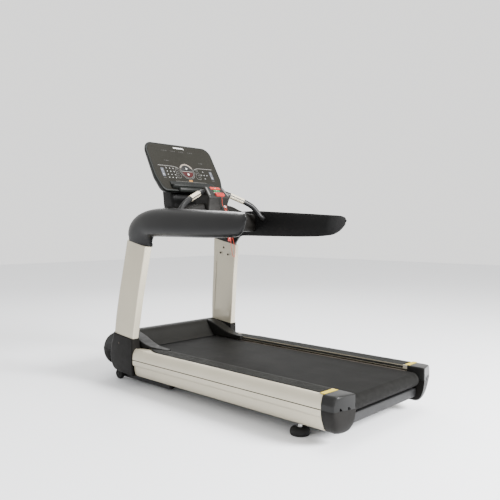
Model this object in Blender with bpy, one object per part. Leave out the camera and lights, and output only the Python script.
"""A gym treadmill, modelled as the separate pieces it is assembled from.

Metres, +Z up, +X to the user's right, +Y forward to the console.  The origin is on the
floor, under the middle of the machine.  Pieces that come in pairs are made by one
function with side = -1 (the user's left) or +1 (the user's right).
"""
import math

import bmesh
import bpy
from mathutils import Vector

# ---------------------------------------------------------------- driving dimensions
GAP = 0.0003                 # clearance between touching pieces
LEFT, RIGHT = -1, 1
SIDE_NAMES = {LEFT: "left", RIGHT: "right"}

REAR_Y = -1.020              # rearmost point of the end caps
FRONT_Y = 1.020              # front of the motor hood's nose
RAIL_REAR_Y = -0.915
RAIL_FRONT_Y = 0.555
RAIL_SEAM_Z = 0.180          # joint line between the upper and the lower rail
RAIL_SEAM_X = 0.4605         # widest point of the rails
RAIL_TOP_Z = 0.250
RAIL_INNER_X = 0.335
RAIL_WALL = 0.0035

BELT_TOP_Z = 0.225
BELT_THICK = 0.003
BELT_HALF_WIDTH = 0.305
FRONT_ROLLER_R = 0.040
REAR_ROLLER_R = 0.0345
BELT_ROLLER_GAP = 0.001
FRONT_ROLLER_Y = 0.700
REAR_ROLLER_Y = -0.962
FRONT_ROLLER_Z = BELT_TOP_Z - BELT_THICK - BELT_ROLLER_GAP - FRONT_ROLLER_R
REAR_ROLLER_Z = BELT_TOP_Z - BELT_THICK - BELT_ROLLER_GAP - REAR_ROLLER_R
BOARD_TOP_Z = BELT_TOP_Z - BELT_THICK - 0.0005
BOARD_THICK = 0.025

FRAME_Z0, FRAME_Z1 = 0.085, 0.135      # side tubes of the main frame
FRAME_X0, FRAME_X1 = 0.312, 0.362
MOTOR_Y, MOTOR_Z = 0.870, 0.205
MOTOR_R = 0.070
PULLEY_X0, PULLEY_X1 = 0.318, 0.344    # plane of the drive belt, left of the frame tube
ROLLER_PULLEY_R = 0.040
MOTOR_PULLEY_R = 0.027

LIFT_PIVOT = (0.330, 0.045)            # Y, Z of the lift frame's hinge
LIFT_BAR_X0, LIFT_BAR_X1 = 0.325, 0.350
WHEEL_Y, WHEEL_R, WHEEL_X0, WHEEL_X1 = 0.825, 0.035, 0.356, 0.386
JACK_X = 0.170
JACK_TOP = (0.890, 0.268)              # Y, Z of the lift motor's pivot
JACK_FOOT = (0.760, 0.055)             # Y, Z of the pin that the jack pushes on
FOOT_X, FOOT_Y = 0.374, -0.724         # rear levelling feet

UPRIGHT_THICK = 0.046
HOOD_HALF_WIDTH = 0.398
HOOD_SEAM_Z = 0.190

CONSOLE_CENTRE = (0.0, 0.562, 1.397)   # middle of the console's round key
CONSOLE_TILT = math.radians(30.0)
ROUND_KEY_S = -0.002           # height of the round key's centre on the face
ROUND_KEY_R = 0.0470
ROUND_KEY_GAP = 0.0040         # each half stops this far from the centre line
POD_TILT = math.radians(47.0)
POD_REAR = (0.300, 1.279)              # Y, Z of the pod panel's rear edge
POD_LENGTH = 0.090
ROCKER_TILT_DEG = 8.0        # the power switch leans this far either way


# ---------------------------------------------------------------- materials and helpers
def make_material(name, colour, roughness, metallic=0.0):
    material = bpy.data.materials.new(name)
    material.use_nodes = True
    shader = material.node_tree.nodes["Principled BSDF"]
    shader.inputs["Base Color"].default_value = (*colour, 1.0)
    shader.inputs["Roughness"].default_value = roughness
    shader.inputs["Metallic"].default_value = metallic
    material.diffuse_color = (*colour, 1.0)
    return material


def clear_scene():
    for obj in list(bpy.data.objects):
        bpy.data.objects.remove(obj, do_unlink=True)


def finish_object(name, bm, material, origin=(0.0, 0.0, 0.0), smooth=32.0):
    """Turn a bmesh in world coordinates into an object whose origin is at origin."""
    bmesh.ops.remove_doubles(bm, verts=bm.verts, dist=1e-6)
    bmesh.ops.recalc_face_normals(bm, faces=bm.faces)
    bmesh.ops.translate(bm, verts=bm.verts, vec=-Vector(origin))
    mesh = bpy.data.meshes.new(name)
    bm.to_mesh(mesh)
    bm.free()
    mesh.materials.append(material)
    mesh.shade_smooth()
    mesh.set_sharp_from_angle(angle=math.radians(smooth))
    obj = bpy.data.objects.new(name, mesh)
    obj.location = origin
    bpy.context.scene.collection.objects.link(obj)
    return obj


def add_loft(bm, rings, close_ends=True):
    """Skin equal-length closed rings of points, with a flat cap at each end."""
    loops = [[bm.verts.new(Vector(point)) for point in ring] for ring in rings]
    count = len(loops[0])
    for lower, upper in zip(loops, loops[1:]):
        for i in range(count):
            j = (i + 1) % count
            bm.faces.new((lower[i], lower[j], upper[j], upper[i]))
    if close_ends:
        bm.faces.new(loops[0][::-1])
        bm.faces.new(loops[-1])
    return loops


def add_sleeve(bm, outer_rings, inner_rings):
    """A wall between an outer and an inner skin, open at both ends."""
    outer = add_loft(bm, outer_rings, close_ends=False)
    inner = add_loft(bm, inner_rings, close_ends=False)
    count = len(outer[0])
    for a, b in ((outer[0], inner[0]), (outer[-1], inner[-1])):
        for i in range(count):
            j = (i + 1) % count
            bm.faces.new((a[i], a[j], b[j], b[i]))


def add_box(bm, low, high):
    centre = [(a + b) / 2 for a, b in zip(low, high)]
    size = [b - a for a, b in zip(low, high)]
    made = bmesh.ops.create_cube(bm, size=1.0)
    bmesh.ops.scale(bm, verts=made["verts"], vec=size)
    bmesh.ops.translate(bm, verts=made["verts"], vec=centre)
    return made["verts"]


def add_cylinder(bm, start, end, radius, segments=20):
    """A round bar from start to end."""
    start, end = Vector(start), Vector(end)
    made = bmesh.ops.create_cone(bm, cap_ends=True, segments=segments, radius1=radius,
                                 radius2=radius, depth=(end - start).length)
    turn = (end - start).to_track_quat("Z", "Y").to_matrix()
    bmesh.ops.rotate(bm, verts=made["verts"], cent=(0, 0, 0), matrix=turn)
    bmesh.ops.translate(bm, verts=made["verts"], vec=(start + end) / 2)
    return made["verts"]


def add_turned(bm, profile, segments=28):
    """A closed profile of (x, radius) pairs, turned round the X axis through the origin."""
    rings = []
    for step in range(segments):
        angle = math.tau * step / segments
        rings.append([bm.verts.new((x, r * math.cos(angle), r * math.sin(angle)))
                      for x, r in profile])
    count = len(profile)
    closed = all(r > 0 for _, r in profile)
    for step in range(segments):
        a, b = rings[step], rings[(step + 1) % segments]
        for i in range(count if closed else count - 1):
            j = (i + 1) % count
            bm.faces.new((a[i], a[j], b[j], b[i]))
    if not closed:
        bmesh.ops.remove_doubles(bm, verts=bm.verts, dist=1e-7)


def bar_profile(steps):
    """Turned profile of a solid stepped bar: (x0, x1, radius) runs along X."""
    profile = [(steps[0][0], 0.0)]
    for x0, x1, radius in steps:
        profile += [(x0, radius), (x1, radius)]
    return profile + [(steps[-1][1], 0.0)]


def round_outline(corners, steps=4):
    """Round each (a, b, radius) corner of a closed outline with an arc."""
    points = []
    count = len(corners)
    for i, (a, b, radius) in enumerate(corners):
        here = Vector((a, b))
        if radius <= 0:
            points.append((a, b))
            continue
        before = (Vector(corners[i - 1][:2]) - here).normalized()
        after = (Vector(corners[(i + 1) % count][:2]) - here).normalized()
        half = before.angle(after) / 2
        centre = here + (before + after).normalized() * (radius / math.sin(half))
        first = here + before * (radius / math.tan(half)) - centre
        last = here + after * (radius / math.tan(half)) - centre
        turn = math.atan2(first.x * last.y - first.y * last.x, first.dot(last))
        for k in range(steps + 1):
            angle = turn * k / steps
            points.append((centre.x + first.x * math.cos(angle) - first.y * math.sin(angle),
                           centre.y + first.x * math.sin(angle) + first.y * math.cos(angle)))
    return points


def along_x(outline, x):
    return [(x, y, z) for y, z in outline]


def along_y(outline, y):
    return [(x, y, z) for x, z in outline]


def blend(a, b, t):
    return a + (b - a) * t


def smooth_path(points, per_span):
    """Points read from a Catmull-Rom curve through the given ones."""
    points = [Vector(p) for p in points]
    ends = [points[0] * 2 - points[1]] + points + [points[-1] * 2 - points[-2]]
    path = []
    for i in range(1, len(ends) - 2):
        p0, p1, p2, p3 = ends[i - 1:i + 3]
        for step in range(per_span):
            t = step / per_span
            path.append(0.5 * ((2 * p1) + (p2 - p0) * t + (2 * p0 - 5 * p1 + 4 * p2 - p3) * t * t
                               + (3 * p1 - p0 - 3 * p2 + p3) * t ** 3))
    return path + [points[-1]]


def tube_rings(path, radius, sides=12, flatten=1.0):
    """Rings round a path, square to it; flatten scales the ring's height."""
    rings = []
    for i, point in enumerate(path):
        ahead = path[min(i + 1, len(path) - 1)] - path[max(i - 1, 0)]
        across = Vector((0, 0, 1)).cross(ahead).normalized()
        rise = ahead.cross(across).normalized()
        rings.append([point + across * (radius * math.cos(math.tau * k / sides))
                      + rise * (radius * flatten * math.sin(math.tau * k / sides))
                      for k in range(sides)])
    return rings


def apply_boolean(obj, bm_cutter, operation):
    """Join or cut obj with a second shape, and keep the result as its mesh."""
    cutter = finish_object(obj.name + "_cutter", bm_cutter, obj.data.materials[0])
    cutter.hide_render = True
    cutter.display_type = "WIRE"
    modifier = obj.modifiers.new("shape", "BOOLEAN")
    modifier.operation = operation
    modifier.solver = "EXACT"
    modifier.object = cutter
    bpy.context.view_layer.update()
    evaluated = obj.evaluated_get(bpy.context.evaluated_depsgraph_get())
    result = bpy.data.meshes.new_from_object(evaluated)
    obj.modifiers.clear()
    obj.data = result
    result.shade_smooth()
    result.set_sharp_from_angle(angle=math.radians(32.0))
    bpy.data.objects.remove(cutter, do_unlink=True)


def union_box(obj, low, high):
    bm = bmesh.new()
    add_box(bm, low, high)
    apply_boolean(obj, bm, "UNION")


def union_cylinder(obj, start, end, radius, segments=16):
    bm = bmesh.new()
    add_cylinder(bm, start, end, radius, segments)
    apply_boolean(obj, bm, "UNION")


def cut_box(obj, low, high):
    bm = bmesh.new()
    add_box(bm, low, high)
    apply_boolean(obj, bm, "DIFFERENCE")


def cut_cylinder(obj, start, end, radius, segments=16):
    bm = bmesh.new()
    add_cylinder(bm, start, end, radius, segments)
    apply_boolean(obj, bm, "DIFFERENCE")


def mirror_x(points, side):
    return [(x * side, y, z) for x, y, z in points]


def span(side, x0, x1):
    """The two X ends of a stretch on one side, lowest first."""
    return sorted((side * x0, side * x1))


# ---------------------------------------------------------------- frame and running gear
def make_main_frame(steel):
    """Welded frame: two side tubes, cross members, motor plate and lift hinge lugs."""
    bm = bmesh.new()
    add_box(bm, (-FRAME_X1, RAIL_REAR_Y + 0.001, FRAME_Z0), (-FRAME_X0, 0.90, FRAME_Z1))
    frame = finish_object("main_frame", bm, steel)
    union_box(frame, (FRAME_X0, RAIL_REAR_Y + 0.001, FRAME_Z0), (FRAME_X1, 0.90, FRAME_Z1))
    cross_x = FRAME_X0 + 0.02
    for y in (-0.62, -0.10, 0.44):
        union_box(frame, (-cross_x, y - 0.02, 0.095), (cross_x, y + 0.02, 0.130))
    union_box(frame, (-cross_x, 0.862, 0.100), (cross_x, 0.8999, 0.1297))
    union_box(frame, (-cross_x, 0.780, 0.1202), (-0.030, 0.870, 0.1297))
    union_box(frame, (0.215, 0.780, 0.1202), (cross_x, 0.870, 0.1297))
    # bracket that carries the lift motor's pivot pin
    union_box(frame, (JACK_X + 0.032, 0.864, 0.120), (JACK_X + 0.040, 0.8990, 0.283))
    union_cylinder(frame, (JACK_X - 0.018, *JACK_TOP), (JACK_X + 0.035, *JACK_TOP), 0.006)
    # rear cross bar, on two plates that pass between the end caps
    union_box(frame, (-0.3312, -0.968, 0.088), (0.3312, -0.926, 0.132))
    for side in (LEFT, RIGHT):
        x0, x1 = span(side, FRAME_X0 + 0.002, 0.3312)
        union_box(frame, (x0, -0.930, 0.092), (x1, -0.900, 0.128))
        x0, x1 = span(side, 0.3535, FRAME_X1 - 0.0002)
        union_box(frame, (x0, LIFT_PIVOT[0] - 0.02, 0.028), (x1, LIFT_PIVOT[0] + 0.02, 0.10))
        x0, x1 = span(side, 0.3195, 0.356)
        union_cylinder(frame, (x0, *LIFT_PIVOT), (x1, *LIFT_PIVOT), 0.0098)
        # outriggers: the rear levelling foot's bracket and the upright's seat
        x0, x1 = span(side, FRAME_X1 - 0.01, FOOT_X + 0.018)
        union_box(frame, (x0, FOOT_Y - 0.022, 0.095), (x1, FOOT_Y + 0.022, 0.125))
        cut_cylinder(frame, (side * FOOT_X, FOOT_Y, 0.08), (side * FOOT_X, FOOT_Y, 0.14), 0.0075)
        x0, x1 = span(side, FRAME_X1 - 0.01, 0.4450)
        union_box(frame, (x0, 0.610, 0.090), (x1, 0.720, 0.130))
        # supports of the front roller's ends
        x0, x1 = span(side, 0.3475, 0.356)
        union_box(frame, (x0, FRONT_ROLLER_Y - 0.02, 0.13), (x1, FRONT_ROLLER_Y + 0.02, 0.205))
    return frame


def make_running_belt(rubber):
    """The walking belt: an endless band round the deck and both rollers."""
    def loop(extra):
        points = []
        for y, z, radius, first in ((FRONT_ROLLER_Y, FRONT_ROLLER_Z, FRONT_ROLLER_R, 90.0),
                                    (REAR_ROLLER_Y, REAR_ROLLER_Z, REAR_ROLLER_R, -90.0)):
            for step in range(15):
                angle = math.radians(first - 180.0 * step / 14)
                reach = radius + BELT_ROLLER_GAP + extra
                points.append((y + reach * math.cos(angle), z + reach * math.sin(angle)))
        return points
    bm = bmesh.new()
    ends = (-BELT_HALF_WIDTH, BELT_HALF_WIDTH)
    add_sleeve(bm, [along_x(loop(BELT_THICK), x) for x in ends],
               [along_x(loop(0.0), x) for x in ends])
    return finish_object("running_belt", bm, rubber)


def make_deck(board, rubber):
    bm = bmesh.new()
    bottom = BOARD_TOP_Z - BOARD_THICK
    add_box(bm, (-0.331, -0.908, bottom), (0.331, 0.645, BOARD_TOP_Z))
    finish_object("running_deck", bm, board)
    heights = (FRAME_Z1 + GAP, 0.150, 0.166, 0.182, bottom - GAP)
    radii = (0.0165, 0.0135, 0.0160, 0.0135, 0.0165)
    for side in (LEFT, RIGHT):
        rings = []
        for z, radius in zip(heights, radii):
            rings.append([(side * 0.3215 + 0.55 * radius * math.cos(math.tau * k / 16),
                           0.25 + 2.0 * radius * math.sin(math.tau * k / 16), z)
                          for k in range(16)])
        bm = bmesh.new()
        add_loft(bm, rings)
        finish_object(f"deck_cushion_{SIDE_NAMES[side]}", bm, rubber)


def make_rollers(steel, bright):
    bm = bmesh.new()
    add_turned(bm, bar_profile([(-0.3468, -PULLEY_X1, 0.010), (-PULLEY_X1, -PULLEY_X0, ROLLER_PULLEY_R),
                                (-PULLEY_X0, -0.3075, 0.012), (-0.3075, 0.3075, FRONT_ROLLER_R),
                                (0.3075, 0.3468, 0.010)]), 24)
    bmesh.ops.translate(bm, verts=bm.verts, vec=(0, FRONT_ROLLER_Y, FRONT_ROLLER_Z))
    finish_object("front_roller", bm, steel, (0, FRONT_ROLLER_Y, FRONT_ROLLER_Z))

    bm = bmesh.new()
    add_turned(bm, [(-0.3075, 0.0105), (-0.3075, REAR_ROLLER_R - 0.003), (-0.3045, REAR_ROLLER_R),
                    (0.3045, REAR_ROLLER_R), (0.3075, REAR_ROLLER_R - 0.003), (0.3075, 0.0105)], 24)
    bmesh.ops.translate(bm, verts=bm.verts, vec=(0, REAR_ROLLER_Y, REAR_ROLLER_Z))
    finish_object("rear_roller", bm, bright, (0, REAR_ROLLER_Y, REAR_ROLLER_Z))

    bm = bmesh.new()
    add_cylinder(bm, (-0.3312, REAR_ROLLER_Y, REAR_ROLLER_Z), (0.3312, REAR_ROLLER_Y, REAR_ROLLER_Z),
                 0.010, 24)
    finish_object("rear_axle", bm, steel)


def make_drive(steel, dark, rubber, plastic):
    """Motor, its pulley, the drive belt to the front roller, and the controller box."""
    bm = bmesh.new()
    add_turned(bm, [(-0.262, 0.0), (-0.262, 0.052), (-0.250, MOTOR_R), (-0.062, MOTOR_R),
                    (-0.050, 0.060), (-0.050, 0.0)], 28)
    bmesh.ops.translate(bm, verts=bm.verts, vec=(0, MOTOR_Y, MOTOR_Z))
    motor = finish_object("drive_motor", bm, dark)
    union_box(motor, (-0.235, MOTOR_Y - 0.045, 0.1302), (-0.075, MOTOR_Y - 0.004, 0.160))

    bm = bmesh.new()
    add_turned(bm, bar_profile([(-PULLEY_X1, -PULLEY_X0, MOTOR_PULLEY_R), (-PULLEY_X0, -0.295, 0.010),
                                (-0.295, -0.268, 0.045), (-0.268, -0.2623, 0.010)]), 20)
    bmesh.ops.translate(bm, verts=bm.verts, vec=(0, MOTOR_Y, MOTOR_Z))
    finish_object("motor_pulley", bm, steel, (0, MOTOR_Y, MOTOR_Z))

    # the ribbed drive belt runs on the outer tangents of the two pulleys
    distance = math.dist((FRONT_ROLLER_Y, FRONT_ROLLER_Z), (MOTOR_Y, MOTOR_Z))
    tilt = math.atan2(MOTOR_Z - FRONT_ROLLER_Z, MOTOR_Y - FRONT_ROLLER_Y)
    spread = math.acos((ROLLER_PULLEY_R - MOTOR_PULLEY_R) / distance)

    def loop(extra):
        points = []
        for y, z, radius, start, turn in (
                (MOTOR_Y, MOTOR_Z, MOTOR_PULLEY_R, tilt + spread, -2 * spread),
                (FRONT_ROLLER_Y, FRONT_ROLLER_Z, ROLLER_PULLEY_R, tilt - spread,
                 -2 * (math.pi - spread))):
            for step in range(13):
                angle = start + turn * step / 12
                points.append((y + (radius + extra) * math.cos(angle),
                               z + (radius + extra) * math.sin(angle)))
        return points
    bm = bmesh.new()
    ends = (-PULLEY_X1 + 0.002, -PULLEY_X0 - 0.002)
    add_sleeve(bm, [along_x(loop(0.0042), x) for x in ends], [along_x(loop(0.0008), x) for x in ends])
    finish_object("drive_belt", bm, rubber)

    bm = bmesh.new()
    add_box(bm, (0.217, 0.785, 0.1302), (0.3105, 0.852, 0.205))
    controller = finish_object("motor_controller", bm, plastic)
    for row in range(4):
        y = 0.793 + 0.015 * row
        cut_box(controller, (0.215, y, 0.190), (0.325, y + 0.006, 0.215))


def make_lift(steel, dark, rubber):
    """Incline lift: a hinged frame on the front wheels, pushed down by a screw jack."""
    y0, z0 = LIFT_PIVOT
    bar = [(y0 + 0.030 * math.cos(math.radians(a)), z0 + 0.030 * math.sin(math.radians(a)))
           for a in range(90, 271, 15)]
    nose = [(WHEEL_Y + 0.022 * math.cos(math.radians(a)), WHEEL_R + 0.020 * math.sin(math.radians(a)))
            for a in range(-90, 91, 30)]
    outline = bar + nose + [(0.740, 0.062)]
    bm = bmesh.new()
    add_loft(bm, [along_x(outline, x) for x in (LIFT_BAR_X0, LIFT_BAR_X1)])
    lift = finish_object("lift_frame", bm, steel, (0, *LIFT_PIVOT))
    bm = bmesh.new()
    add_loft(bm, [along_x(outline, x) for x in (-LIFT_BAR_X1, -LIFT_BAR_X0)])
    bmesh.ops.recalc_face_normals(bm, faces=bm.faces)
    bmesh.ops.translate(bm, verts=bm.verts, vec=(0, -y0, -z0))
    join_local(lift, bm, "UNION")
    boxes = [((-LIFT_BAR_X0 - 0.01, 0.785, 0.022), (LIFT_BAR_X0 + 0.01, 0.825, 0.050))]
    for edge in (-0.026, 0.020):
        boxes.append(((JACK_X + edge, JACK_FOOT[0] - 0.012, 0.028),
                      (JACK_X + edge + 0.006, 0.792, JACK_FOOT[1] + 0.012)))
    for low, high in boxes:
        bm = bmesh.new()
        add_box(bm, low, high)
        apply_boolean(lift, bm, "UNION")
    rods = [((JACK_X - 0.024, *JACK_FOOT), (JACK_X + 0.024, *JACK_FOOT), 0.005)]
    for side in (LEFT, RIGHT):
        rods.append(((side * 0.345, WHEEL_Y, WHEEL_R), (side * 0.390, WHEEL_Y, WHEEL_R), 0.0060))
    for start, end, radius in rods:
        bm = bmesh.new()
        add_cylinder(bm, start, end, radius, 16)
        apply_boolean(lift, bm, "UNION")
    for side in (LEFT, RIGHT):
        bm = bmesh.new()
        add_cylinder(bm, (side * 0.31, 0, 0), (side * 0.365, 0, 0), 0.0108, 16)
        join_local(lift, bm, "DIFFERENCE")

    for side in (LEFT, RIGHT):
        bm = bmesh.new()
        x0, x1 = span(side, WHEEL_X0, WHEEL_X1)
        add_turned(bm, [(x0, 0.0069), (x0, WHEEL_R - 0.004), (x0 + 0.004, WHEEL_R),
                        (x1 - 0.004, WHEEL_R), (x1, WHEEL_R - 0.004), (x1, 0.0069)], 24)
        bmesh.ops.translate(bm, verts=bm.verts, vec=(0, WHEEL_Y, WHEEL_R))
        finish_object(f"front_wheel_{SIDE_NAMES[side]}", bm, rubber, (side * 0.371, WHEEL_Y, WHEEL_R))

    # screw jack: everything lies along the line from its top pivot to the lift frame's pin
    top = Vector((JACK_X, *JACK_TOP))
    line = (Vector((JACK_X, *JACK_FOOT)) - top).normalized()
    bm = bmesh.new()
    add_cylinder(bm, top + line * 0.018, top + line * 0.190, 0.0200, 20)
    jack = finish_object("lift_motor", bm, dark, top)
    bm = bmesh.new()
    add_cylinder(bm, line * 0.040, line * 0.20, 0.0142, 20)
    join_local(jack, bm, "DIFFERENCE")
    bm = bmesh.new()
    add_box(bm, (-0.016, -0.014, -0.014), (0.016, 0.014, 0.014))
    bmesh.ops.rotate(bm, verts=bm.verts, cent=(0, 0, 0), matrix=line.to_track_quat("Z", "X").to_matrix())
    bmesh.ops.translate(bm, verts=bm.verts, vec=line * 0.012)
    join_local(jack, bm, "UNION")
    bm = bmesh.new()
    add_cylinder(bm, line * 0.028 + Vector((-0.045, 0, 0)), line * 0.028 + Vector((0.012, 0, 0)), 0.014, 20)
    join_local(jack, bm, "UNION")
    bm = bmesh.new()
    shift = Vector((-0.058, 0, 0))
    add_cylinder(bm, shift + line * 0.006, shift + line * 0.150, 0.026, 20)
    join_local(jack, bm, "UNION")
    bm = bmesh.new()
    add_cylinder(bm, (-0.03, 0, 0), (0.03, 0, 0), 0.0070, 16)
    join_local(jack, bm, "DIFFERENCE")

    bm = bmesh.new()
    add_cylinder(bm, top + line * 0.044, top + line * 0.240, 0.0130, 20)
    finish_object("lift_screw_tube", bm, steel, top)


def join_local(obj, bm, operation):
    """Boolean with a shape given in the object's own coordinates."""
    bmesh.ops.translate(bm, verts=bm.verts, vec=obj.location)
    apply_boolean(obj, bm, operation)


def make_levelling_foot(side, rubber):
    """Rubber foot on a threaded stud that screws into the frame."""
    profile = [(0.0, 0.044), (0.004, 0.0485), (0.014, 0.050), (0.026, 0.048), (0.036, 0.038),
               (0.041, 0.018), (0.046, 0.010), (0.050, 0.0062), (0.118, 0.0062)]
    bm = bmesh.new()
    add_loft(bm, [[(side * FOOT_X + r * math.cos(math.tau * k / 20),
                    FOOT_Y + r * math.sin(math.tau * k / 20), z) for k in range(20)]
                  for z, r in profile])
    finish_object(f"levelling_foot_{SIDE_NAMES[side]}", bm, rubber, (side * FOOT_X, FOOT_Y, 0.0))


# ---------------------------------------------------------------- rails, strips and caps
def upper_rail_outline():
    """Section of the upper rail: crowned outer face, flat top with a strip bed, inner lip."""
    outer = [(RAIL_SEAM_X, RAIL_SEAM_Z + GAP), (0.4603, 0.192), (0.4590, 0.206), (0.4560, 0.220),
             (0.4510, 0.232), (0.4440, 0.241), (0.4360, 0.2463), (0.4300, 0.2480)]
    top = [(0.4290, 0.2445), (0.3440, 0.2445), (0.3430, RAIL_TOP_Z), (0.3360, RAIL_TOP_Z),
           (RAIL_INNER_X, 0.2490), (RAIL_INNER_X, 0.2290), (RAIL_INNER_X + RAIL_WALL, 0.2290)]
    inner = [(RAIL_INNER_X + RAIL_WALL, 0.2405), (0.4300, 0.2405), (0.4400, 0.2370),
             (0.4480, 0.2280), (0.4525, 0.2170), (0.4553, 0.205), (0.4567, 0.192),
             (0.4568, RAIL_SEAM_Z + GAP)]
    return outer + top + inner


def lower_rail_outline():
    """Section of the lower rail: a short band, a step inwards, then a rounded belly."""
    wall = RAIL_WALL
    outer = [(RAIL_SEAM_X, RAIL_SEAM_Z - GAP), (0.4603, 0.165), (0.4590, 0.151), (0.4565, 0.1445),
             (0.4530, 0.1420), (0.4480, 0.1405), (0.4475, 0.1360), (0.4462, 0.122),
             (0.4435, 0.104), (0.4385, 0.089), (0.4300, 0.0775), (0.4180, 0.0715),
             (0.4020, 0.0700), (0.3665, 0.0700)]
    inner = [(0.3665, 0.0700 + wall), (0.4020, 0.0700 + wall), (0.4165, 0.0748),
             (0.4275, 0.0802), (0.4352, 0.0908), (0.4401, 0.1050), (0.4427, 0.1225),
             (0.4440, 0.1400), (0.4470, 0.1438), (0.4530, 0.1465), (0.4556, 0.1530),
             (0.4568, 0.165), (0.4568, RAIL_SEAM_Z - GAP)]
    return outer + inner


def make_rails(side, silver, strip_grey):
    name = SIDE_NAMES[side]
    for piece, outline in (("upper", upper_rail_outline()), ("lower", lower_rail_outline())):
        bm = bmesh.new()
        add_loft(bm, [mirror_x(along_y(outline, y), side) for y in (RAIL_REAR_Y, RAIL_FRONT_Y)])
        rail = finish_object(f"side_rail_{piece}_{name}", bm, silver)
        if piece == "lower":
            cut_cylinder(rail, (side * FOOT_X, FOOT_Y, 0.06), (side * FOOT_X, FOOT_Y, 0.09), 0.011)

    # ribbed foot strip in the rail's bed, narrowing at the front where the hood takes over
    stations = [(-0.888, 0.4278), (0.280, 0.4278), (0.340, 0.4235), (0.400, 0.4110), (0.450, 0.3910),
                (0.485, 0.3650)]
    bm = bmesh.new()
    rings = []
    for y, outer_x in stations:
        rings.append([(side * 0.3448, y, 0.2448), (side * outer_x, y, 0.2448),
                      (side * outer_x, y, 0.2502), (side * (outer_x - 0.002), y, 0.2514),
                      (side * 0.3466, y, 0.2514), (side * 0.3448, y, 0.2502)])
    add_loft(bm, rings)
    finish_object(f"foot_strip_{name}", bm, strip_grey)


def cap_rear_y(x):
    """The caps' rear face runs forward from the inner to the outer corner."""
    return REAR_Y + (abs(x) - 0.332) * 0.27


def make_end_caps(side, black):
    name = SIDE_NAMES[side]
    upper = [(0.332, RAIL_SEAM_Z + GAP), (0.332, 0.243), (0.336, 0.2495), (0.345, 0.2515),
             (0.428, 0.2515), (0.444, 0.2455), (0.4560, 0.2280), (0.4605, 0.205),
             (0.4615, RAIL_SEAM_Z + GAP)]
    centre = (0.385, 0.19)
    steps = ((1.0, None), (1.0, 0.030), (0.995, 0.012), (0.975, 0.004), (0.93, 0.0))
    rings = []
    for scale, back in steps:
        ring = []
        for x, z in upper:
            sx = centre[0] + (x - centre[0]) * scale
            sz = z if z < 0.185 else centre[1] + (z - centre[1]) * scale
            y = RAIL_REAR_Y - GAP if back is None else cap_rear_y(sx) + back
            ring.append((side * sx, y, sz))
        rings.append(ring)
    bm = bmesh.new()
    add_loft(bm, rings)
    finish_object(f"end_cap_upper_{name}", bm, black)

    lower = [(0.332, RAIL_SEAM_Z - GAP), (0.4615, RAIL_SEAM_Z - GAP), (0.4612, 0.160),
             (0.4570, 0.138), (0.4500, 0.118), (0.4400, 0.095), (0.4220, 0.072),
             (0.3950, 0.0600), (0.3600, 0.0570), (0.3400, 0.0600), (0.332, 0.0680)]
    steps = ((1.0, 0.0), (1.02, 0.25), (0.97, 0.52), (0.86, 0.72), (0.70, 0.85),
             (0.50, 0.93), (0.25, 0.985), (0.06, 1.0))
    rings = []
    for depth, back in steps:
        ring = []
        for x, z in lower:
            sz = RAIL_SEAM_Z - GAP - (RAIL_SEAM_Z - GAP - z) * depth
            sx = x if x < 0.40 else 0.40 + (x - 0.40) * (0.90 + 0.10 * min(depth, 1.0))
            ring.append((side * sx, blend(RAIL_REAR_Y - GAP, cap_rear_y(sx), back), sz))
        rings.append(ring)
    bm = bmesh.new()
    add_loft(bm, rings)
    finish_object(f"end_cap_lower_{name}", bm, black)


# ---------------------------------------------------------------- uprights and boots
# stations up the uprights: rear edge (y, z), front edge (y, z), outer x, rearward flare of the
# inner corner, and radius of the outer front corner
UPRIGHT_STATIONS = (
    ((0.570, 0.132), (0.7820, 0.1380), 0.4590, 0.0, 0.016),
    ((0.566, 0.220), (0.7760, 0.2320), 0.4580, 0.0, 0.016),
    ((0.5585, 0.315), (0.7680, 0.3360), 0.4560, 0.0, 0.018),
    ((0.5450, 0.430), (0.7595, 0.4560), 0.4488, 0.004, 0.020),
    ((0.5280, 0.560), (0.7420, 0.5920), 0.4400, 0.005, 0.024),
    ((0.5080, 0.700), (0.7225, 0.7330), 0.4296, 0.008, 0.030),
    ((0.4900, 0.820), (0.7060, 0.8580), 0.4205, 0.012, 0.036),
    ((0.4800, 0.8950), (0.6960, 0.9404), 0.4145, 0.016, 0.038),
)


def upright_ring(rear, front, outer_x, flare, nose):
    """Section between the rear and front edges: crowned outer face, rounded front."""
    length = math.dist(rear, front)
    inner_x = outer_x - UPRIGHT_THICK
    inner_nose = min(0.012, UPRIGHT_THICK - nose - 0.0005)
    outline = round_outline([(-flare, inner_x, 0.007), (0.0, outer_x, 0.007),
                             (length, outer_x, nose), (length, inner_x, inner_nose)], 3)
    # two more points crown the outer face
    crown = [(length * 0.30, outer_x + 0.0028), (length * 0.58, outer_x + 0.0028)]
    outline = outline[:8] + crown + outline[8:]
    return [(x, blend(rear[0], front[0], s / length), blend(rear[1], front[1], s / length))
            for s, x in outline]


def make_upright(side, silver):
    bm = bmesh.new()
    add_loft(bm, [mirror_x(upright_ring(*station), side) for station in UPRIGHT_STATIONS])
    finish_object(f"upright_{SIDE_NAMES[side]}", bm, silver)


# stations up the boots: height at rear and front, rear y, front y, outer x, inner x
BOOT_STATIONS = (
    (0.076, 0.084, 0.5560, 0.745, 0.4560, 0.4055),
    (0.100, 0.106, 0.5556, 0.788, 0.4630, 0.4035),
    (0.140, 0.146, 0.5556, 0.810, 0.4655, 0.4030),
    (0.190, 0.198, 0.5556, 0.812, 0.4660, 0.4030),
    (0.245, 0.256, 0.5556, 0.800, 0.4650, 0.4030),
    (0.285, 0.300, 0.5550, 0.784, 0.4638, 0.4040),
    (0.312, 0.334, 0.5545, 0.772, 0.4615, 0.4065),
)


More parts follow.
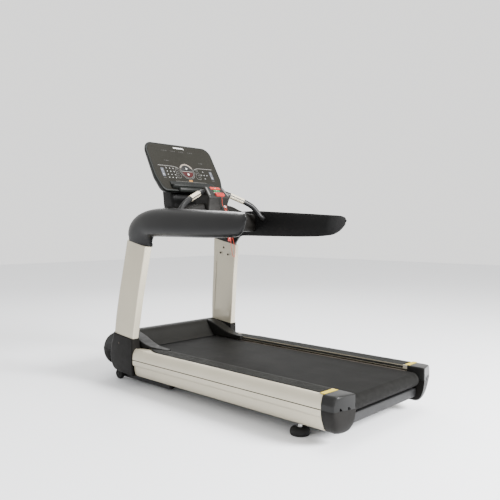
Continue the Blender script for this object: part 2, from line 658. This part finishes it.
def boot_ring(z_rear, z_front, y0, y1, x_outer, x_inner, corner=0.030):
    outline = round_outline([(y0, x_inner, 0.004), (y0, x_outer, 0.010), (y1, x_outer, corner),
                             (y1, x_inner, 0.012)], 3)
    ring = []
    for y, x in outline:
        t = (y - y0) / (y1 - y0)
        ring.append((x, y, blend(z_rear, z_front, t)))
    return ring


def make_boot(side, black):
    """Moulded cover round the foot of an upright, open at the top and the bottom."""
    wall = 0.0030
    outer, inner = [], []
    for z0, z1, y0, y1, x1, x0 in BOOT_STATIONS:
        outer.append(mirror_x(boot_ring(z0, z1, y0, y1, x1, x0), side))
        x_in = max(x0 + wall, 0.4062)
        if z0 > 0.30:
            inner.append(mirror_x(boot_ring(z0, z1, 0.5568, 0.7705, 0.4602, 0.4085, 0.014), side))
        else:
            inner.append(mirror_x(boot_ring(z0, z1, y0 + wall, y1 - wall, x1 - wall, x_in), side))
    bm = bmesh.new()
    add_sleeve(bm, outer, inner)
    boot = finish_object(f"upright_boot_{SIDE_NAMES[side]}", bm, black)
    # slot in the inner wall for the frame's outrigger
    x0, x1 = span(side, 0.395, 0.4095)
    cut_box(boot, (x0, 0.595, 0.05), (x1, 0.750, 0.1345))


# ---------------------------------------------------------------- motor hood
def hood_profile(inset):
    """Side outline of the hood from the belt gap over the crest to the seam in its nose."""
    points = [(0.6280, 0.2290), (0.6360, 0.2370), (0.6560, 0.2560), (0.6780, 0.2830),
              (0.6960, 0.3080), (0.7100, 0.3250), (0.7260, 0.3350), (0.7420, 0.3375),
              (0.7700, 0.3335), (0.8100, 0.3230), (0.8550, 0.3130), (0.9000, 0.2960),
              (0.9380, 0.2730), (0.9650, 0.2480), (0.9820, 0.2200), (0.9935, HOOD_SEAM_Z + GAP)]
    if inset == 0:
        return points
    shifted = []
    for i, (y, z) in enumerate(points):
        before = points[max(i - 1, 0)]
        after = points[min(i + 1, len(points) - 1)]
        run = Vector((after[0] - before[0], after[1] - before[1])).normalized()
        shifted.append((y + run.y * inset, z - run.x * inset))
    shifted[-1] = (shifted[-1][0], HOOD_SEAM_Z + GAP)
    return [(0.6420, 0.2270)] + shifted[2:]


def nose_profile(inset):
    """Side outline of the lower nose, from the seam round to its underside."""
    points = [(0.9935, HOOD_SEAM_Z - GAP), (0.9900, 0.1650), (0.9780, 0.1400), (0.9580, 0.1200),
              (0.9320, 0.1060), (0.9080, 0.0990)]
    if inset == 0:
        return points
    return [(y - inset, z + (0.0 if i == 0 else inset * 0.9)) for i, (y, z) in enumerate(points)]


def bow(x, y):
    """The nose bows forward towards the middle."""
    front = min(max((y - 0.80) / 0.19, 0.0), 1.0)
    return y + (FRONT_Y - 0.9935) * front * (1.0 - (x / HOOD_HALF_WIDTH) ** 2)


def hood_stations(half, edge):
    """X stations with how far the outline shrinks there, to round the ends."""
    middle = [half * k / 4 for k in range(-3, 4)]
    return [(-half, edge), (-half + edge * 0.35, edge * 0.4), (-half + edge, 0.0)] \
        + [(x, 0.0) for x in middle] \
        + [(half - edge, 0.0), (half - edge * 0.35, edge * 0.4), (half, edge)]


def shrink(point, amount, centre=(0.84, 0.20)):
    y, z = point
    dy, dz = y - centre[0], z - centre[1]
    size = max(math.hypot(dy, dz), 1e-6)
    if z < HOOD_SEAM_Z + 0.045 and y < 0.70:
        return point
    return y - dy / size * amount, z - max(dz, 0.0) / size * amount


def make_hood(black):
    """Motor hood: a thin cover over the motor bay, with a swept ribbon on each side."""
    wall = 0.0035
    bm = bmesh.new()
    rings = []
    for x, edge in hood_stations(HOOD_HALF_WIDTH, 0.012):
        profile = [shrink(p, edge) for p in hood_profile(0)]
        profile.append((0.9935 - edge, HOOD_SEAM_Z + GAP))
        profile.append((0.6400, HOOD_SEAM_Z + GAP))
        profile.append((0.6400, 0.2290))
        rings.append([(x, bow(x, y), z) for y, z in profile])
    add_loft(bm, rings)
    hood = finish_object("motor_hood", bm, black)
    bm = bmesh.new()
    rings = []
    for x in [(HOOD_HALF_WIDTH - wall) * k / 4 for k in range(-4, 5)]:
        profile = hood_profile(wall)
        inner_edge = 0.010 if abs(x) > 0.39 else 0.0
        profile = [shrink(p, inner_edge) for p in profile]
        profile += [(profile[-1][0], 0.10), (0.50, 0.10), (0.50, 0.2270)]
        rings.append([(x, bow(x, y), z) for y, z in profile])
    add_loft(bm, rings)
    apply_boolean(hood, bm, "DIFFERENCE")


def make_hood_nose(black):
    """Lower front cover, a thin shell open at the top and the back."""
    wall = 0.0040
    rings = []
    for x, edge in hood_stations(HOOD_HALF_WIDTH, 0.012):
        profile = [(y - edge, z + edge * 0.5 * (i > 0)) for i, (y, z) in enumerate(nose_profile(0))]
        profile += [(0.9040, 0.1050), (0.8400, 0.1380), (0.8400, HOOD_SEAM_Z - GAP)]
        rings.append([(x, bow(x, y), z) for y, z in profile])
    bm = bmesh.new()
    add_loft(bm, rings)
    nose = finish_object("hood_nose", bm, black)
    rings = []
    for x in [(HOOD_HALF_WIDTH - wall) * k / 4 for k in range(-4, 5)]:
        edge = 0.010 if abs(x) > 0.39 else 0.0
        profile = [(y - edge, z + edge * 0.5 * (i > 0))
                   for i, (y, z) in enumerate(nose_profile(wall))]
        profile += [(0.8300, 0.1030), (0.8300, 0.2500), (profile[0][0], 0.2500)]
        rings.append([(x, bow(x, y), z) for y, z in profile])
    bm = bmesh.new()
    add_loft(bm, rings)
    apply_boolean(nose, bm, "DIFFERENCE")
    return nose


def make_power_panel(nose, black, dark):
    """Mains inlet and rocker switch, set in a window in the nose."""
    x0, x1, z0, z1 = 0.180, 0.262, 0.1420, 0.1720
    cut_box(nose, (x0, 0.95, z0), (x1, 1.03, z1))
    bm = bmesh.new()
    add_box(bm, (x0 + GAP, 0.940, z0 + GAP), (x1 - GAP, 0.982, z1 - GAP))
    inlet = finish_object("power_inlet", bm, dark)
    # socket for a mains lead: three blades inside a six-sided well
    cut_box(inlet, (x0 + 0.006, 0.962, z0 + 0.004), (x0 + 0.034, 0.990, z1 - 0.004))
    for dx in (0.012, 0.020, 0.028):
        union_box(inlet, (x0 + dx - 0.001, 0.958, 0.1550), (x0 + dx + 0.001, 0.975, 0.1600))
    switch_x, switch_y, switch_z = x0 + 0.058, 0.9800, (z0 + z1) / 2
    cut_box(inlet, (switch_x - 0.012, 0.964, switch_z - 0.0115),
            (switch_x + 0.012, 0.990, switch_z + 0.0115))

    # rocker: a block with a shallow V face, tilted to its off side on a pivot across it
    tilt = math.radians(ROCKER_TILT_DEG)
    rocker = [(-0.0060, 0.0), (-0.0020, -0.0085), (0.0045, -0.0100), (0.0060, 0.0),
              (0.0045, 0.0100), (-0.0020, 0.0085)]
    pivot = (switch_x, switch_y - 0.003, switch_z)
    bm = bmesh.new()
    add_loft(bm, [[(pivot[0] + x, pivot[1] + y * math.cos(tilt) - z * math.sin(tilt),
                    pivot[2] + y * math.sin(tilt) + z * math.cos(tilt))
                   for y, z in rocker] for x in (-0.0105, 0.0105)])
    finish_object("power_switch", bm, black, pivot)


WING_STATIONS = (
    # y, outer x, height of the top edge
    (0.360, 0.3440, 0.2540), (0.400, 0.3560, 0.2560), (0.440, 0.3700, 0.2590),
    (0.480, 0.3840, 0.2650), (0.520, 0.3920, 0.2760), (0.560, 0.3960, 0.2900),
    (0.600, 0.3970, 0.3050), (0.628, 0.3974, 0.3145), (0.636, 0.3975, 0.3170),
    (0.656, 0.3977, 0.3225), (0.678, 0.3978, 0.3275), (0.696, 0.3978, 0.3315),
    (0.710, 0.3978, 0.3340),
)


def hood_height(y):
    """Height of the hood's outer skin at its sides, on the slope behind the crest."""
    profile = hood_profile(0)
    for (y0, z0), (y1, z1) in zip(profile, profile[1:]):
        if y0 <= y <= y1:
            return blend(z0, z1, (y - y0) / (y1 - y0))
    return profile[0][1]


def make_hood_wing(side, grey):
    """Swept moulding on the hood's shoulder, tapering back to a point on the foot strip."""
    rings = []
    for y, outer_x, top in WING_STATIONS:
        low = 0.2524 if y < 0.628 else max(0.2524, hood_height(y) + 0.0012)
        low_inner = 0.2290 if y < 0.628 else hood_height(y) + 0.0012
        top = max(top, low + 0.0016)
        rings.append([(side * 0.3090, y, low_inner), (side * 0.3330, y, low_inner),
                      (side * 0.3330, y, low), (side * outer_x, y, low),
                      (side * outer_x, y, blend(low, top, 0.4)),
                      (side * (outer_x - 0.002), y, blend(low, top, 0.75)),
                      (side * (outer_x - 0.007), y, top),
                      (side * 0.3150, y, top), (side * 0.3105, y, blend(low, top, 0.75)),
                      (side * 0.3090, y, blend(low, top, 0.4))])
    bm = bmesh.new()
    add_loft(bm, rings)
    finish_object(f"hood_wing_{SIDE_NAMES[side]}", bm, grey)


# ---------------------------------------------------------------- arms
# stations along the arms: outer edge (y, z), inner edge (y, z), outer x, inner x, and how far
# the upper edge rises towards the inner side
ARM_STATIONS = (
    ((0.694, 0.9413), (0.470, 0.8942), 0.4185, 0.3630, 0.0),
    ((0.690, 0.970), (0.461, 0.9190), 0.4240, 0.3655, 0.0),
    ((0.679, 1.001), (0.451, 0.9375), 0.4310, 0.3690, 0.0),
    ((0.656, 1.034), (0.440, 0.9490), 0.4375, 0.3720, 0.0),
    ((0.620, 1.064), (0.428, 0.9550), 0.4430, 0.3750, 0.0),
    ((0.571, 1.090), (0.415, 0.9570), 0.4480, 0.3780, 0.001),
    ((0.512, 1.108), (0.400, 0.9580), 0.4520, 0.3800, 0.004),
    ((0.445, 1.1175), (0.380, 0.958), 0.4545, 0.3820, 0.008),
    ((0.360, 1.120), (0.340, 0.958), 0.4560, 0.3830, 0.012),
    ((0.250, 1.116), (0.250, 0.957), 0.4570, 0.3840, 0.014),
    ((0.100, 1.109), (0.100, 0.956), 0.4570, 0.3840, 0.0125),
    ((-0.080, 1.100), (-0.080, 0.955), 0.4565, 0.3840, 0.0105),
    ((-0.240, 1.0925), (-0.215, 0.9570), 0.4550, 0.3840, 0.008),
    ((-0.300, 1.0893), (-0.262, 0.9590), 0.4540, 0.3840, 0.007),
    ((-0.350, 1.0868), (-0.308, 0.9625), 0.4530, 0.3865, 0.006),
    ((-0.386, 1.0855), (-0.3526, 0.9705), 0.4525, 0.4050, 0.005),
    ((-0.407, 1.0830), (-0.391, 0.9950), 0.4515, 0.4250, 0.003),
    ((-0.421, 1.0755), (-0.4185, 1.0290), 0.4505, 0.4390, 0.001),
    ((-0.4290, 1.0640), (-0.4270, 1.0480), 0.4495, 0.4440, 0.0),
)
ARM_PANEL_THICK = 0.0077
ARM_PANEL_LAST = 14             # last station that the inner panel reaches


def make_arm(side, black, panel_black):
    """Handrail arm: a crowned outer moulding closed by a flat inner panel."""
    sides = 12
    power = 2.4
    shell_rings, panel_rings = [], []
    for number, (outer, inner, x_out, x_in, rise) in enumerate(ARM_STATIONS):
        with_panel = 0 < number <= ARM_PANEL_LAST
        x_flat = x_in + ARM_PANEL_THICK + 3 * GAP if with_panel else x_in
        ring = []
        for k in range(sides + 1):
            angle = -math.pi / 2 + math.pi * k / sides
            up = math.copysign(abs(math.sin(angle)) ** (2 / power), math.sin(angle))
            t = 0.5 + 0.5 * up
            across = abs(math.cos(angle)) ** (2 / power)
            ring.append((side * blend(x_flat, x_out, across), blend(inner[0], outer[0], t),
                         blend(inner[1], outer[1], t) + rise * t * (1.0 - across)))
        shell_rings.append(ring)
        if with_panel:
            inset = 0.006 / math.dist(outer, inner)
            edge = 0.0018 / math.dist(outer, inner)
            ring = []
            for t, x in ((inset, x_in + ARM_PANEL_THICK), (inset, x_in + 0.0015),
                         (inset + edge, x_in), (1 - inset - edge, x_in),
                         (1 - inset, x_in + 0.0015), (1 - inset, x_in + ARM_PANEL_THICK)):
                ring.append((side * x, blend(inner[0], outer[0], t),
                             blend(inner[1], outer[1], t) + rise * t))
            panel_rings.append(ring)
    for part, rings, material in (("arm_shell", shell_rings, black),
                                  ("arm_inner_panel", panel_rings, panel_black)):
        bm = bmesh.new()
        add_loft(bm, rings)
        finish_object(f"{part}_{SIDE_NAMES[side]}", bm, material, smooth=40.0)


def side_of_station(station, y, z):
    """Signed distance of a point from a station's line across the arm."""
    outer, inner = station[0], station[1]
    run, rise = outer[0] - inner[0], outer[1] - inner[1]
    return ((y - inner[0]) * rise - (z - inner[1]) * run) / math.hypot(run, rise)


def arm_inner_x(y, z):
    """X of the arm panel's inner face where the bridge meets it."""
    for station, following in zip(ARM_STATIONS, ARM_STATIONS[1:]):
        before, after = side_of_station(station, y, z), side_of_station(following, y, z)
        if before <= 0.0 <= after:
            return blend(station[3], following[3], before / (before - after))
    return ARM_STATIONS[-1][3]


# ---------------------------------------------------------------- bridge, neck and pod
def bridge_ring(x, rear_top, front_top, drop):
    """YZ section of the bridge: a flat bottom, rounded edges and a dished top."""
    middle = (rear_top + front_top) / 2 - 0.004
    points = [(0.306, 0.986), (0.288, 0.996), (0.2815, 1.020), (0.2820, rear_top - 0.030),
              (0.2870, rear_top - 0.010), (0.3000, rear_top), (0.360, blend(rear_top, middle, 0.5)),
              (0.480, middle), (0.590, front_top), (0.610, front_top - 0.008),
              (0.6200, front_top - 0.030), (0.6160, 1.000), (0.598, 0.986)]
    ring = []
    for y, z in points:
        end_x = math.copysign(arm_inner_x(y, z) - 0.0020, x)
        ring.append((end_x if abs(x) > 0.38 else x, y, z - drop))
    return ring


def make_bridge(black):
    """Housing across the arms, under the console, with an accessory tray on each side."""
    stations = [(0.384, 1.1080, 1.1000), (0.330, 1.1130, 1.1040), (0.270, 1.1250, 1.1120),
                (0.215, 1.1410, 1.1280), (0.175, 1.1550, 1.1500), (0.095, 1.1700, 1.1580)]
    rings = [bridge_ring(-x, rear, front, 0.0) for x, rear, front in stations]
    rings += [bridge_ring(x, rear, front, 0.0) for x, rear, front in reversed(stations)]
    bm = bmesh.new()
    add_loft(bm, rings)
    bridge = finish_object("bridge_housing", bm, black)
    for side in (LEFT, RIGHT):
        x0, x1 = span(side, 0.175, 0.340)
        cut_box(bridge, (x0, 0.345, 1.040), (x1, 0.545, 1.200))
    # seats for the pod's column and the console's neck
    cut_box(bridge, (-0.0885, 0.270, 1.0500), (0.0885, 0.3960, 1.200))
    cut_box(bridge, (-0.1600, 0.5000, 1.0500), (0.1600, 0.650, 1.200))


def make_neck(black):
    """Neck that rises out of the bridge and carries the console."""
    def ring(rear, front, half, corner=0.022):
        length = math.dist(rear, front)
        outline = round_outline([(-half, 0.0, corner), (half, 0.0, corner),
                                 (half * 0.93, length, corner), (-half * 0.93, length, corner)], 3)
        return [(x, blend(rear[0], front[0], s / length), blend(rear[1], front[1], s / length))
                for x, s in outline]
    stations = [((0.5040, 1.0504), (0.6180, 1.0504), 0.1590), ((0.5040, 1.1300), (0.6220, 1.1200), 0.1590),
                ((0.5100, 1.1600), (0.6360, 1.1500), 0.1590), ((0.5200, 1.1800), (0.6460, 1.1700), 0.1560),
                ((0.5400, 1.2100), (0.6580, 1.2050), 0.1490),
                ((0.5480, 1.2450), (0.6680, 1.2900), 0.1450)]
    # the last section lies flat against the console's back
    top = [face_point(0.0, s, console_back(s) - GAP)[1:] for s in (-0.0924, 0.0357)]
    stations.append((*top, 0.1430))
    bm = bmesh.new()
    add_loft(bm, [ring(*station) for station in stations])
    finish_object("console_neck", bm, black)


def pod_point(x, t, n=0.0):
    """Point on the pod's sloping panel: t metres down from its far edge, n above it."""
    y, z = POD_REAR
    return (x, y - t * math.cos(POD_TILT) - n * math.sin(POD_TILT),
            z - t * math.sin(POD_TILT) + n * math.cos(POD_TILT))


def pod_block(bm, x0, x1, t0, t1, n0, n1, corner=0.004):
    """A slab on the pod's panel, with rounded corners and a small top bevel."""
    rings = []
    edge = min(0.0012, (n1 - n0) / 4)
    for n, inset in ((n0, 0.0), (n1 - edge, 0.0), (n1, edge)):
        outline = round_outline([(x0 + inset, t0 + inset, corner), (x1 - inset, t0 + inset, corner),
                                 (x1 - inset, t1 - inset, corner), (x0 + inset, t1 - inset, corner)], 3)
        rings.append([pod_point(x, t, n) for x, t in outline])
    add_loft(bm, rings)


def make_pod(black, red, green, key_red):
    """Control pod: start and stop buttons and the magnetic safety key."""
    def ring(near, far, half_near, half_far, corner=0.014):
        length = math.dist(near, far)
        outline = round_outline([(-half_near, 0.0, corner), (half_near, 0.0, corner),
                                 (half_far, length, corner), (-half_far, length, corner)], 3)
        return [(x, blend(near[0], far[0], s / length), blend(near[1], far[1], s / length))
                for x, s in outline]
    near_edge = pod_point(0.0, POD_LENGTH)[1:]
    stations = [((0.2530, 1.0504), (0.3950, 1.0504), 0.0875, 0.0875),
                ((0.2510, 1.1200), (0.3950, 1.1200), 0.0870, 0.0870),
                ((0.2480, 1.1650), (0.3880, 1.1750), 0.0870, 0.0860),
                ((0.2410, 1.1930), (0.3650, 1.2300), 0.0920, 0.0850),
                ((near_edge[0] - 0.001, near_edge[1] - 0.010), (0.3200, 1.2730), 0.0970, 0.0815),
                (near_edge, POD_REAR, 0.0960, 0.0795)]
    bm = bmesh.new()
    add_loft(bm, [ring(*station) for station in stations])
    pod = finish_object("pod_housing", bm, black)
    # sockets of the two grips
    for side in (LEFT, RIGHT):
        union_cylinder(pod, (side * 0.060, 0.305, 1.2430), (side * 0.0925, 0.305, 1.2430), 0.0195, 14)

    buttons = (("pod_stop_button", red, 0.0425, 0.0040, 0.0245),
               ("pod_start_button", green, 0.0275, 0.0295, 0.0455))
    centre = 0.004
    for name, material, half, t0, t1 in buttons:
        pocket = bmesh.new()
        pod_block(pocket, centre - half - 0.0006, centre + half + 0.0006, t0 - 0.0006, t1 + 0.0006,
                  -0.0062, 0.004, 0.0046)
        apply_boolean(pod, pocket, "DIFFERENCE")
        bm = bmesh.new()
        pod_block(bm, centre - half, centre + half, t0, t1, -0.0040, 0.0022)
        finish_object(name, bm, material, pod_point(centre, (t0 + t1) / 2))

    # safety key: a coloured tile whose peg sits in a hole
    t_key = 0.0755
    cut_cylinder(pod, pod_point(centre, t_key, -0.0085), pod_point(centre, t_key, 0.004), 0.0090, 18)
    bm = bmesh.new()
    pod_block(bm, centre - 0.036, centre + 0.036, t_key - 0.0130, t_key + 0.0130, GAP, 0.0145, 0.006)
    key = finish_object("safety_key", bm, key_red, pod_point(centre, t_key))
    union_cylinder(key, pod_point(centre, t_key, -0.0065), pod_point(centre, t_key, 0.006), 0.0080, 18)


def make_safety_cord(orange, clip_red):
    """Lanyard from the safety key to its clothing clip."""
    route = [(0.0040, 0.2337, 1.2189), (0.0040, 0.2270, 1.2125), (0.0045, 0.2240, 1.2030),
             (0.0070, 0.2255, 1.1860), (0.0120, 0.2290, 1.1680), (0.0240, 0.2300, 1.1480),
             (0.0420, 0.2300, 1.1300), (0.0600, 0.2300, 1.1050), (0.0760, 0.2300, 1.0650),
             (0.0900, 0.2300, 1.0150), (0.1030, 0.2300, 0.9600), (0.1180, 0.2300, 0.9100),
             (0.1270, 0.2290, 0.8720), (0.1250, 0.2270, 0.8380), (0.1130, 0.2240, 0.8220),
             (0.0980, 0.2210, 0.8320), (0.0880, 0.2185, 0.8600), (0.0800, 0.2170, 0.9000),
             (0.0660, 0.2165, 0.9700), (0.0460, 0.2160, 1.0500), (0.0290, 0.2160, 1.1100),
             (0.0215, 0.2160, 1.1420), (0.0300, 0.2170, 1.1560), (0.0395, 0.2190, 1.1480),
             (0.0430, 0.2205, 1.1250), (0.0520, 0.2230, 1.0700), (0.0640, 0.2260, 1.0100),
             (0.0740, 0.2290, 0.9612)]
    curve = bpy.data.curves.new("safety_cord", "CURVE")
    curve.dimensions = "3D"
    curve.bevel_depth = 0.0015
    curve.bevel_resolution = 2
    curve.use_fill_caps = True
    points = smooth_path(route, 3)
    spline = curve.splines.new("POLY")
    spline.points.add(len(points) - 1)
    for target, point in zip(spline.points, points):
        target.co = (*point, 1.0)
    curve.materials.append(orange)
    cord = bpy.data.objects.new("safety_cord", curve)
    bpy.context.scene.collection.objects.link(cord)

    # spring clip hanging on the cord's end
    bm = bmesh.new()
    outline = round_outline([(0.0610, 0.9260, 0.004), (0.0890, 0.9260, 0.004), (0.0860, 0.9600, 0.005),
                             (0.0640, 0.9600, 0.005)], 3)
    add_loft(bm, [[(x, y, z) for x, z in outline] for y in (0.2245, 0.2335)])
    clip = finish_object("safety_clip", bm, clip_red)
    cut_box(clip, (0.0735, 0.2200, 0.9200), (0.0765, 0.2400, 0.9420))


def make_grip(side, black, bright):
    """Fixed handle from the pod out to the arm, with a pulse contact plate round it."""
    route = [(0.0930, 0.3050, 1.2430), (0.1200, 0.2960, 1.2350), (0.1500, 0.2860, 1.2240),
             (0.2000, 0.2700, 1.2050), (0.2500, 0.2530, 1.1840), (0.3000, 0.2370, 1.1570),
             (0.3380, 0.2240, 1.1190), (0.3580, 0.2150, 1.0930), (0.3832, 0.2080, 1.0770)]
    path = smooth_path(route, 2)
    name = SIDE_NAMES[side]
    radius = 0.0158

    def rings(r):
        made = [[(side * p.x, p.y, p.z) for p in ring] for ring in tube_rings(path, r)]
        # the last ring is flat against the arm's panel
        made[-1] = [(side * 0.3832, y, z) for _, y, z in made[-1]]
        made[0] = [(side * 0.0930, y, z) for _, y, z in made[0]]
        return made
    bm = bmesh.new()
    add_loft(bm, rings(radius))
    finish_object(f"grip_{name}", bm, black)
    bm = bmesh.new()
    first, last = 3, 9
    add_sleeve(bm, rings(radius + 0.0016)[first:last + 1], rings(radius + 0.0004)[first:last + 1])
    finish_object(f"pulse_plate_{name}", bm, bright)


# ---------------------------------------------------------------- console
def face_point(x, s, n=0.0):
    """Point on the console's sloping face: s up the face, n out towards the user."""
    cx, cy, cz = CONSOLE_CENTRE
    return (cx + x, cy + s * math.sin(CONSOLE_TILT) - n * math.cos(CONSOLE_TILT),
            cz + s * math.cos(CONSOLE_TILT) + n * math.sin(CONSOLE_TILT))


def console_outline(inset=0.0):
    """Face outline: a wide rounded shield, a little narrower at the bottom."""
    corners = [(-0.262, -0.165, 0.050), (0.262, -0.165, 0.050), (0.292, -0.050, 0.150),
               (0.290, 0.2200, 0.066), (-0.290, 0.2200, 0.066), (-0.292, -0.050, 0.150)]
    points = []
    for x, s, radius in corners:
        scale = 1.0 - inset / 0.26
        points.append((x * scale, 0.03 + (s - 0.03) * (1.0 - inset / 0.195), radius * scale))
    return round_outline(points, 4)


def console_back(s):
    """Depth n of the console's back at height s: it is deeper at the bottom."""
    return -0.0577 * (1.0 - (s + 0.03))


def console_slab(bm, layers):
    """Skin the console's outline at (n, inset) layers."""
    add_loft(bm, [[face_point(x, s, n) for x, s in console_outline(inset)] for n, inset in layers])


def face_slab(bm, outline, n0, n1):
    add_loft(bm, [[face_point(x, s, n) for x, s in outline] for n in (n0, n1)])


def half_disc(radius, half, gap=ROUND_KEY_GAP, steps=18):
    """Outline of the upper (half 1) or lower (half -1) half of the round key."""
    first = math.asin(gap / radius)
    outline = []
    for k in range(steps + 1):
        angle = blend(first, math.pi - first, k / steps)
        outline.append((radius * math.cos(angle), ROUND_KEY_S + half * radius * math.sin(angle)))
    return outline


def make_console(black, olive, green, red):
    """Console housing, its printed overlay and the two halves of its round key."""
    rings = []
    for depth, inset in ((1.0, 0.045), (0.955, 0.034), (0.84, 0.022), (0.66, 0.012), (0.48, 0.006),
                         (0.18, 0.001)):
        rings.append([face_point(x, s, console_back(s) * depth) for x, s in console_outline(inset)])
    for n, inset in ((-0.0030, 0.001), (0.0, 0.0030)):
        rings.append([face_point(x, s, n) for x, s in console_outline(inset)])
    bm = bmesh.new()
    add_loft(bm, rings)
    housing = finish_object("console_housing", bm, black)
    pocket = bmesh.new()
    console_slab(pocket, [(-0.0014, 0.0120), (0.010, 0.0120)])
    apply_boolean(housing, pocket, "DIFFERENCE")

    bm = bmesh.new()
    console_slab(bm, [(-0.0014 + GAP, 0.0125), (0.0002, 0.0125)])
    overlay = finish_object("console_overlay", bm, olive)
    keys = (("console_start_key", green, 1), ("console_stop_key", red, -1))
    for name, material, half in keys:
        for obj in (housing, overlay):
            well = bmesh.new()
            face_slab(well, half_disc(ROUND_KEY_R + 0.0005, half, ROUND_KEY_GAP - 0.0005), -0.0065, 0.005)
            apply_boolean(obj, well, "DIFFERENCE")
        bm = bmesh.new()
        face_slab(bm, half_disc(ROUND_KEY_R, half), -0.0045, 0.0020)
        finish_object(name, bm, material, face_point(0.0, ROUND_KEY_S))


def make_reading_tray(black):
    """Ledge across the foot of the console, with a raised lip."""
    half = 0.190
    section = [(-0.0880, 0.0006), (-0.0930, 0.0060), (-0.1180, 0.0100), (-0.1250, 0.0250),
               (-0.1300, 0.0275), (-0.1380, 0.0270), (-0.1480, 0.0160), (-0.1500, 0.0006)]
    rings = []
    for x, scale in ((-half, 0.55), (-half + 0.004, 0.85), (-half + 0.014, 1.0),
                     (half - 0.014, 1.0), (half - 0.004, 0.85), (half, 0.55)):
        rings.append([face_point(x, -0.119 + (s + 0.119) * (0.5 + 0.5 * scale),
                                 0.0006 + (n - 0.0006) * scale) for s, n in section])
    bm = bmesh.new()
    add_loft(bm, rings)
    tray = finish_object("reading_tray", bm, black)
    chin = [(-0.1400, 0.0030), (-0.1450, 0.0200), (-0.1600, 0.0170), (-0.1720, 0.0050), (-0.1700, 0.0006),
            (-0.1450, 0.0006)]
    rings = []
    for x, scale in ((-0.140, 0.6), (-0.130, 1.0), (0.130, 1.0), (0.140, 0.6)):
        rings.append([face_point(x, -0.145 + (s + 0.145) * scale, 0.0006 + (n - 0.0006) * scale)
                      for s, n in chin])
    bm = bmesh.new()
    add_loft(bm, rings)
    apply_boolean(tray, bm, "UNION")


def main():
    clear_scene()
    steel = make_material("frame_paint", (0.035, 0.036, 0.038), 0.45, 0.3)
    bright = make_material("bright_steel", (0.62, 0.62, 0.61), 0.30, 1.0)
    silver = make_material("champagne_aluminium", (0.62, 0.60, 0.55), 0.38, 0.6)
    black = make_material("black_plastic", (0.045, 0.045, 0.042), 0.42)
    satin = make_material("satin_black_plastic", (0.030, 0.031, 0.034), 0.34)
    grey = make_material("grey_plastic", (0.17, 0.17, 0.165), 0.50)
    cap = make_material("cap_plastic", (0.10, 0.10, 0.10), 0.30)
    dark = make_material("motor_paint", (0.03, 0.032, 0.036), 0.4, 0.2)
    rubber = make_material("black_rubber", (0.03, 0.03, 0.03), 0.75)
    belt = make_material("belt_rubber", (0.05, 0.05, 0.05), 0.65)
    board = make_material("deck_board", (0.10, 0.085, 0.07), 0.6)
    strip_grey = make_material("strip_rubber", (0.18, 0.185, 0.18), 0.6)
    olive = make_material("overlay_film", (0.085, 0.085, 0.070), 0.35)
    red = make_material("stop_red", (0.75, 0.10, 0.03), 0.4)
    green = make_material("start_green", (0.05, 0.42, 0.10), 0.4)
    key_red = make_material("key_red", (0.80, 0.22, 0.16), 0.4)
    orange = make_material("cord_orange", (0.80, 0.14, 0.06), 0.7)

    make_main_frame(steel)
    make_running_belt(belt)
    make_deck(board, rubber)
    make_rollers(steel, bright)
    make_drive(steel, dark, rubber, black)
    make_lift(steel, dark, rubber)
    for side in (LEFT, RIGHT):
        make_levelling_foot(side, rubber)
        make_rails(side, silver, strip_grey)
        make_end_caps(side, cap)
        make_upright(side, silver)
        make_boot(side, black)
        make_hood_wing(side, grey)
        make_arm(side, satin, black)
        make_grip(side, satin, bright)
    make_hood(black)
    nose = make_hood_nose(black)
    make_power_panel(nose, black, dark)
    make_bridge(black)
    make_neck(black)
    make_pod(black, red, green, key_red)
    make_safety_cord(orange, key_red)
    make_console(black, olive, green, red)
    make_reading_tray(black)


main()
